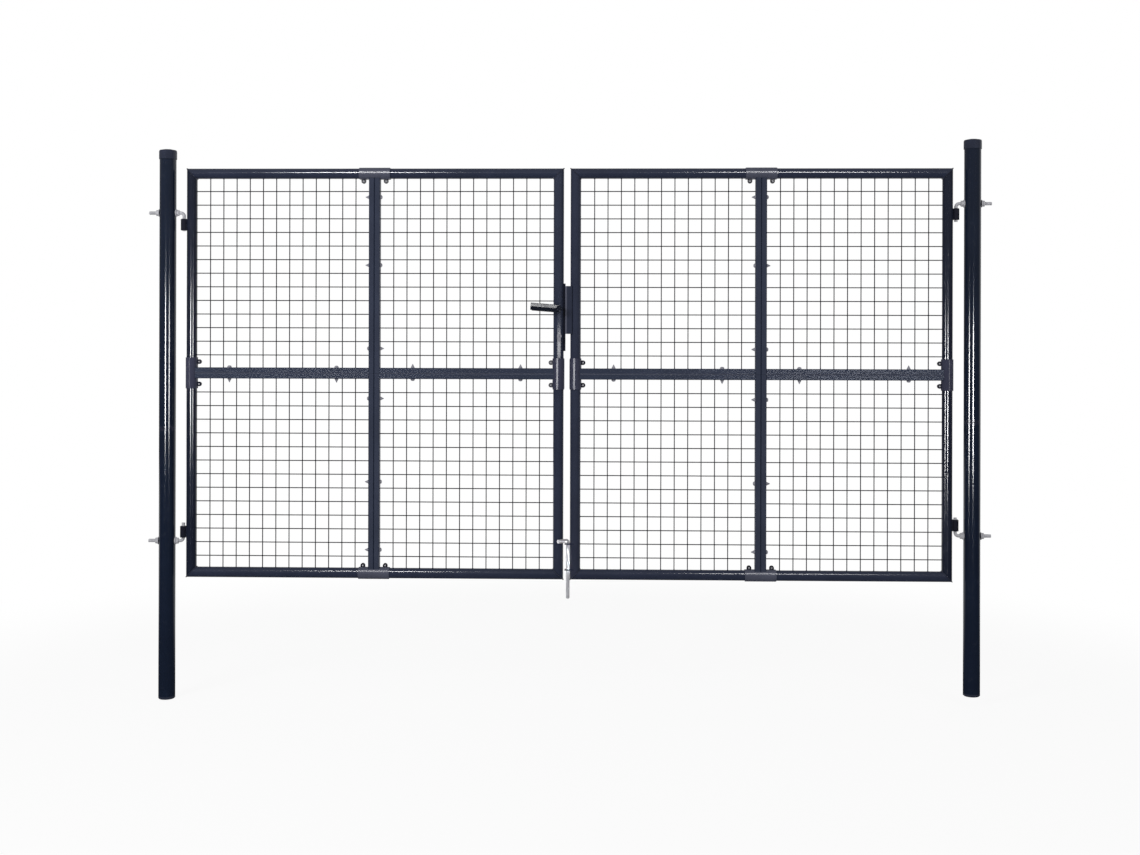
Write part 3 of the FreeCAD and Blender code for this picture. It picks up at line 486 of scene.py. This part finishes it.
def leaf_welds(side, x0, x1, z0, z1):
    bm = bmesh.new()
    for x, toward_x in ((x0 + TUBE, 1.0), (x1 - TUBE, -1.0)):
        for z, toward_z in ((z0 + TUBE, 1.0), (z1 - TUBE, -1.0)):
            weld_bead(bm, mitre_path(x, z, toward_x, toward_z, TUBE + 0.1 * MM), MITRE_BEAD)
            inner = TUBE - 2.0 * MM
            for y in range(-9, 10, 3):
                heel = (x + toward_x * inner, y * MM, z + toward_z * inner)
                add_copy(bm, bead_drop, stretched(heel, 4.2 * MM, 3.0 * MM, 4.2 * MM))
    middle_x = (x0 + x1) / 2
    middle_z = (z0 + z1) / 2
    ends = [((middle_x, 0, z0 + TUBE), (0, 0, 1), (1, 0, 0)),
            ((middle_x, 0, z1 - TUBE), (0, 0, -1), (1, 0, 0)),
            ((x0 + TUBE, 0, middle_z), (1, 0, 0), (0, 0, 1)),
            ((x1 - TUBE, 0, middle_z), (-1, 0, 0), (0, 0, 1))]
    for end in ends:
        path = saddle_path(*map(Vector, end), 20.2 * MM, BAR_HALF_DEPTH, TUBE + 0.2 * MM)
        weld_bead(bm, path, SADDLE_BEAD)
    low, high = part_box(side + "_leaf_hinge_lugs")
    x = x0 + TUBE - LUG_REACH if side == "left" else x1 - TUBE + LUG_REACH
    for foot in (low.z, high.z - LUG_HEIGHT):
        rise = [foot + (3.0 + 3.0 * step) * MM for step in range(13)]
        for y in (-7.2 * MM, 7.2 * MM):
            weld_bead(bm, [Vector((x, y, z)) for z in rise], LUG_BEAD)
    hand_over(bm, side + "_leaf_welds", weld_paint, side + "_leaf")


# Bolts through the mullion and the crossbar: a round head on one side, a pointed tip on the other
def bar_bolts(side, x0, x1, z0, z1):
    middle_x = (x0 + x1) / 2
    middle_z = (z0 + z1) / 2
    near, far = BOLTS_FROM_EDGE
    heights = [z1 - gap for gap in BOLTS_BELOW_TOP] + [z0 + gap for gap in BOLTS_ABOVE_BOTTOM]
    places = [x0 + near, x0 + far, x1 - far, x1 - near]
    bm = bmesh.new()
    for z, left in zip(heights, TIPS_LEFT[side]):
        way = -1.0 if left else 1.0
        reach = way * BAR_HALF_WIDTH
        add_copy(bm, bolt_tip, turned_to((middle_x + reach, 0, z), (way, 0, 0)))
        add_copy(bm, bolt_head, turned_to((middle_x - reach, 0, z), (-way, 0, 0)))
    for x, down in zip(places, TIPS_DOWN[side]):
        way = -1.0 if down else 1.0
        reach = way * BAR_HALF_WIDTH
        add_copy(bm, bolt_tip, turned_to((x, 0, middle_z + reach), (0, 0, way)))
        add_copy(bm, bolt_head, turned_to((x, 0, middle_z - reach), (0, 0, -way)))
    hand_over(bm, side + "_bar_bolts", screw_zinc, side + "_leaf")


# Screws that draw each clamp's ears together
def ear_screws(side, x0, x1, z0, z1):
    inner = TUBE + EAR_REACH
    middle_x = (x0 + x1) / 2
    middle_z = (z0 + z1) / 2
    spots = []
    for offset in (-EAR_OFFSET, EAR_OFFSET):
        spots.append((x0 + inner, middle_z + offset))
        spots.append((x1 - inner, middle_z + offset))
        spots.append((middle_x + offset, z0 + inner))
        spots.append((middle_x + offset, z1 - inner))
    bm = bmesh.new()
    for x, z in spots:
        add_copy(bm, ear_screw, turned_to((x, -EAR_HALF, z), (0, -1, 0)))
        add_copy(bm, ear_nut, turned_to((x, EAR_HALF, z), (0, 1, 0)))
        add_copy(bm, ear_shank, turned_to((x, -EAR_HALF, z), (0, 1, 0)))
    hand_over(bm, side + "_ear_screws", zinc, side + "_leaf")


# Screw thread: a ridge wound round the end of a rod
def wound_ridge(bm, spot, radius, length, pitch=1.75 * MM, sides=20):
    turns = int(length / pitch)
    ridge = bmesh.new()
    foot = radius - 0.15 * MM
    crest = radius + 0.35 * MM
    corners = [ridge.verts.new((foot, 0, 0)), ridge.verts.new((crest, 0, pitch * 0.32)),
               ridge.verts.new((foot, 0, pitch * 0.64))]
    lines = [ridge.edges.new(pair) for pair in zip(corners, corners[1:])]
    lines.append(ridge.edges.new((corners[2], corners[0])))
    bmesh.ops.spin(ridge, geom=corners + lines, cent=(0, 0, 0), axis=(0, 0, 1),
                   dvec=(0, 0, pitch / sides), angle=tau * turns, steps=sides * turns,
                   use_merge=False)
    open_edges = [edge for edge in ridge.edges if edge.is_boundary]
    bmesh.ops.holes_fill(ridge, edges=open_edges, sides=3)
    bmesh.ops.recalc_face_normals(ridge, faces=ridge.faces)
    add_copy(bm, as_pattern(ridge), spot)


def rod_threads(side):
    post_low, post_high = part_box(side + "_post_lower")
    hook_low, hook_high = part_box(side + "_hinge_hooks")
    outward = -1.0 if side == "left" else 1.0
    start = (post_low.x + post_high.x) / 2 + outward * THREAD_START
    bm = bmesh.new()
    for z in (hook_low.z + HOOK_RADIUS, hook_high.z - HOOK_RADIUS):
        spot = turned_to((start, 0, z), (outward, 0, 0))
        wound_ridge(bm, spot, HOOK_RADIUS, THREAD_LENGTH)
    hand_over(bm, side + "_rod_threads", zinc, "posts", crease=50.0)


# Lock details: plug faces, key slots drawn as thin dark blocks (painted shade of the keyways) and
# fixing screws
def key_faces():
    low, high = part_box("key_cylinder")
    x = (low.x + high.x) / 2
    z = high.z - KEY_BELOW_TOP
    bm = bmesh.new()
    for y, way in ((low.y, -1.0), (high.y, 1.0)):
        add_copy(bm, key_plug, turned_to((x, y, z), (0, way, 0)))
    hand_over(bm, "key_plugs", nickel, "left_leaf")
    # Thin dark blocks on both plug faces: painted shade standing for the keyways
    bm = bmesh.new()
    for y in (low.y - 0.5 * MM, high.y + 0.5 * MM):
        made = bmesh.ops.create_cube(bm, size=1.0)
        spot = stretched((x, y, z - 0.6 * MM), 1.3 * MM, 0.4 * MM, 7.0 * MM)
        bmesh.ops.transform(bm, matrix=spot, verts=made["verts"])
    hand_over(bm, "key_slots", keyway_shade, "left_leaf")


def plate_screws(name, x, way, heights, body):
    bm = bmesh.new()
    for z in heights:
        add_copy(bm, plate_screw, turned_to((x, 0, z), (way, 0, 0)))
    hand_over(bm, name, screw_zinc, body)


for side in SIDES:
    hinge_low, hinge_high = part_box(side + "_leaf_hinge_stile")
    lock_low, lock_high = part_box(side + "_leaf_lock_stile")
    x0 = min(hinge_low.x, lock_low.x)
    x1 = max(hinge_high.x, lock_high.x)
    z0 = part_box(side + "_leaf_bottom_rail")[0].z
    z1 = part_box(side + "_leaf_top_rail")[1].z
    for part in PANELS:
        wire_panel(side, part)
    leaf_welds(side, x0, x1, z0, z1)
    bar_bolts(side, x0, x1, z0, z1)
    ear_screws(side, x0, x1, z0, z1)
    rod_threads(side)
key_faces()
low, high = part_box("lock_case")
plate_screws("forend_screws", high.x, 1, (high.z - 14.0 * MM, low.z + 14.0 * MM), "left_leaf")
low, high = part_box("lock_keep")
plate_screws("keep_screws", low.x, -1, (high.z - 12.0 * MM, low.z + 12.0 * MM), "right_leaf")


# Studio: a pale floor and a surround that are seen as white. Paint mirrors them as white behind
# the gate and as dim in front of it, and the floor keeps a little of its shadow near the gate
CENTRE_X = 1.469
FLOOR_HALF = 9.0
FLOOR_GAP = 0.0005
DIM = 0.05


def seen_and_mirrored(tree):
    seen = tree.node("ShaderNodeLightPath", output="Is Camera Ray")
    mirrored = tree.node("ShaderNodeLightPath", output="Is Glossy Ray")
    return seen, mirrored + tree.node("ShaderNodeLightPath", output="Is Transmission Ray")


def floor_finish():
    ground = Finish("floor_finish", 0.9, specular=0.1)
    ground.shader.inputs["Base Color"].default_value = (0.82, 0.82, 0.82, 1.0)
    place = ground.place()
    ends = {0: place, 1: (CENTRE_X, 0.0, 0.0)}
    away = ground.node("ShaderNodeVectorMath", {"operation": "DISTANCE"}, ends, "Value")
    behind = ground.part(place, "Y").spread(0.2, 1.6)
    seen, mirrored = seen_and_mirrored(ground)
    plain = Amount(ground, ground.shader.outputs[0])
    glow = ground.node("ShaderNodeEmission", None, {"Strength": 1.0})
    gloom = ground.node("ShaderNodeEmission", None, {"Strength": DIM})
    mirror = ground.node("ShaderNodeMixShader", None, {0: behind, 1: gloom, 2: glow})
    whiteness = seen * (0.92 + 0.08 * away.spread(1.9, 3.4))
    shown = ground.node("ShaderNodeMixShader", None, {0: whiteness, 1: plain, 2: glow})
    look = ground.node("ShaderNodeMixShader", None, {0: mirrored, 1: shown, 2: mirror})
    ground.feed(ground.tree.nodes["Material Output"].inputs["Surface"], look)
    return ground.material


bm = bmesh.new()
bmesh.ops.create_grid(bm, x_segments=1, y_segments=1, size=1.0)
bmesh.ops.transform(bm, matrix=Matrix.Diagonal((FLOOR_HALF, FLOOR_HALF, 1.0, 1.0)), verts=bm.verts)
bmesh.ops.translate(bm, vec=(CENTRE_X, 0.0, 0.0), verts=bm.verts)
floor_mesh = bpy.data.meshes.new("floor")
bm.to_mesh(floor_mesh)
bm.free()
floor_mesh.materials.append(floor_finish())
floor = bpy.data.objects.new("floor", floor_mesh)
bpy.context.scene.collection.objects.link(floor)
floor.location.z = cad_low.z - FLOOR_GAP

world = bpy.context.scene.world or bpy.data.worlds.new("studio")
bpy.context.scene.world = world
world.use_nodes = True
world.node_tree.nodes.clear()
sky = Tree(world.node_tree)
toward = sky.node("ShaderNodeTexCoord", output="Generated")
right = sky.part(toward, "X")
back = sky.part(toward, "Y")
upper = sky.part(toward, "Z").spread(-0.04, 0.14)
level = 1 - sky.part(toward, "Z").size().spread(0.2, 0.45)
backdrop = (right + 0.45 * back).spread(0.1, 0.5) * back.spread(-0.1, 0.25) * level
seen, mirrored = seen_and_mirrored(sky)


def background(strength):
    return sky.node("ShaderNodeBackground", None, {"Color": (1, 1, 1, 1), "Strength": strength})


bright = background(1.0)
dim = background(DIM)
soft = background(0.34)
whiteness = seen + mirrored * (backdrop + (1 - backdrop) * 0.3 * upper)
look = sky.node("ShaderNodeMixShader", None, {0: whiteness, 1: dim, 2: bright})
look = sky.node("ShaderNodeMixShader", None, {0: seen + mirrored, 1: soft, 2: look})
surround = sky.tree.nodes.new("ShaderNodeOutputWorld")
sky.feed(surround.inputs["Surface"], look)


# Lamps: two soft boxes light everything, and the others only show on the nodes that are named
def lamp(name, spot, aim, width, height, watts, angle=180.0, shape="RECTANGLE"):
    light = bpy.data.lights.new(name, "AREA")
    light.shape = shape
    light.size = width
    light.size_y = height
    light.energy = watts
    light.spread = radians(angle)
    held = bpy.data.objects.new(name, light)
    bpy.context.scene.collection.objects.link(held)
    turn = (Vector(aim) - Vector(spot)).to_track_quat("-Z", "Y").to_matrix().to_4x4()
    held.matrix_world = Matrix.Translation(Vector(spot)) @ turn
    held.visible_camera = False
    return held


def shown_on(held, names):
    held.visible_diffuse = False
    group = bpy.data.collections.new(held.name + "_shows_on")
    for name in names:
        group.objects.link(nodes[name])
    held.light_linking.receiver_collection = group


# A tall lamp that draws a line down the upright tubes near x, with its place turned about them
# by so many degrees to the right
STRIP_AWAY = 3.0
STRIP_SPREAD = 30.0


def strip(name, x, degrees, low, high, width, watts, names):
    turn = radians(degrees)
    middle = (low + high) / 2
    spot = (x + STRIP_AWAY * sin(turn), -STRIP_AWAY * cos(turn), middle)
    held = lamp(name, spot, (x, 0.0, middle), width, high - low, watts,
                STRIP_SPREAD, "ELLIPSE")
    shown_on(held, names)


def on_both(*parts):
    return [side + "_leaf_" + part for side in SIDES for part in parts]


lamp("key_box", (-1.4, -3.4, 3.0), (1.2, 0.0, 1.1), 1.6, 1.6, 100.0).visible_glossy = False
lamp("fill_box", (4.6, -3.6, 2.4), (1.8, 0.0, 1.1), 1.6, 1.6, 40.0).visible_glossy = False
left_tubes = ("left_post_lower", "left_post_upper", "left_leaf_hinge_stile")
right_tubes = ("right_post_lower", "right_post_upper", "right_leaf_hinge_stile")
strip("left_strip_a", 0.04, -13.0, 0.72, 1.62, 0.4, 3.2, left_tubes)
strip("left_strip_b", 0.04, 38.5, 0.72, 1.62, 0.5, 1.9, left_tubes)
strip("right_strip_a", 2.9, -54.0, 0.54, 1.46, 0.4, 2.7, right_tubes)
strip("right_strip_b", 2.9, 0.5, 0.54, 1.46, 0.4, 3.7, right_tubes)
rails = on_both("top_rail", "bottom_rail", "rail_clamps")
crossbars = on_both("crossbar")
# Small boxes: place, aim, width, height, watts, spread and outline, then the nodes they show on
BOXES = (
    ("lock_box", (1.59, -0.78, 1.306), (1.438, 0.0, 1.302), 1.3, 0.115, 3.4, 120.0, "RECTANGLE",
     ["left_leaf_lock_stile"]),
    ("clamp_box", (1.139, -0.728, 1.19), (1.469, 0.0, 1.19), 0.5, 0.16, 0.5, 60.0, "RECTANGLE",
     on_both("stile_clamps")),
    ("left_clamp_box", (-0.36, -0.66, 1.19), (0.09, 0.0, 1.19), 0.14, 0.16, 0.05, 60.0,
     "RECTANGLE", ["left_leaf_stile_clamps"]),
    ("right_clamp_box", (3.2, -0.72, 1.19), (2.848, 0.0, 1.19), 0.14, 0.16, 0.05, 60.0,
     "RECTANGLE", ["right_leaf_stile_clamps"]),
    ("high_box_left", (0.12, -3.0, 3.2), (0.6, 0.0, 1.6), 0.9, 0.4, 16.0, 70.0, "ELLIPSE", rails),
    ("high_box_right", (2.76, -3.0, 3.2), (2.3, 0.0, 1.6), 1.2, 0.4, 13.0, 70.0, "ELLIPSE", rails),
    ("bar_box_left", (0.06, -3.0, 1.15), (0.6, 0.0, 1.2), 0.3, 0.4, 0.45, 30.0, "RECTANGLE",
     crossbars),
    ("bar_box_right", (3.0, -3.0, 1.15), (2.5, 0.0, 1.2), 0.6, 0.4, 0.9, 30.0, "RECTANGLE",
     crossbars),
    ("lever_box", (1.26, -3.0, 2.65), (1.39, -0.055, 1.44), 0.6, 0.22, 0.1, 14.0, "RECTANGLE",
     ["lock_levers"]),
)
for *settings, names in BOXES:
    shown_on(lamp(*settings), names)
# The bolt's lamp lights the rod without showing in it
bolt_box = lamp("bolt_box", (1.474, -3.0, 0.56), (1.474, 0.0, 0.56), 0.1, 0.1, 0.13, 6.0)
shown_on(bolt_box, ["drop_bolt_rod"])
bolt_box.visible_diffuse = True
bolt_box.visible_glossy = False

# Camera: the lens and its shift are given in pixels of a picture that is 1140 wide
PICTURE_WIDTH = 1140.0
FOCAL_LENGTH = 1370.2
SHIFT_UP = -80.0
SENSOR = 36.0
CAMERA_SPOT = (1.6033, -5.0, 1.2925)
TURNED_LEFT = 0.0247
ROLLED = 0.0026
view = bpy.data.cameras.new("camera")
view.sensor_width = SENSOR
view.lens = FOCAL_LENGTH / PICTURE_WIDTH * SENSOR
view.shift_y = SHIFT_UP / PICTURE_WIDTH
eye = bpy.data.objects.new("camera", view)
bpy.context.scene.collection.objects.link(eye)
heading = Matrix.Rotation(TURNED_LEFT, 4, "Z")
roll = Matrix.Rotation(ROLLED, 4, "Z")
turn = heading @ Matrix.Rotation(pi / 2, 4, "X") @ roll
eye.matrix_world = Matrix.Translation(CAMERA_SPOT) @ turn
bpy.context.scene.camera = eye
bpy.context.scene.view_settings.view_transform = "Standard"
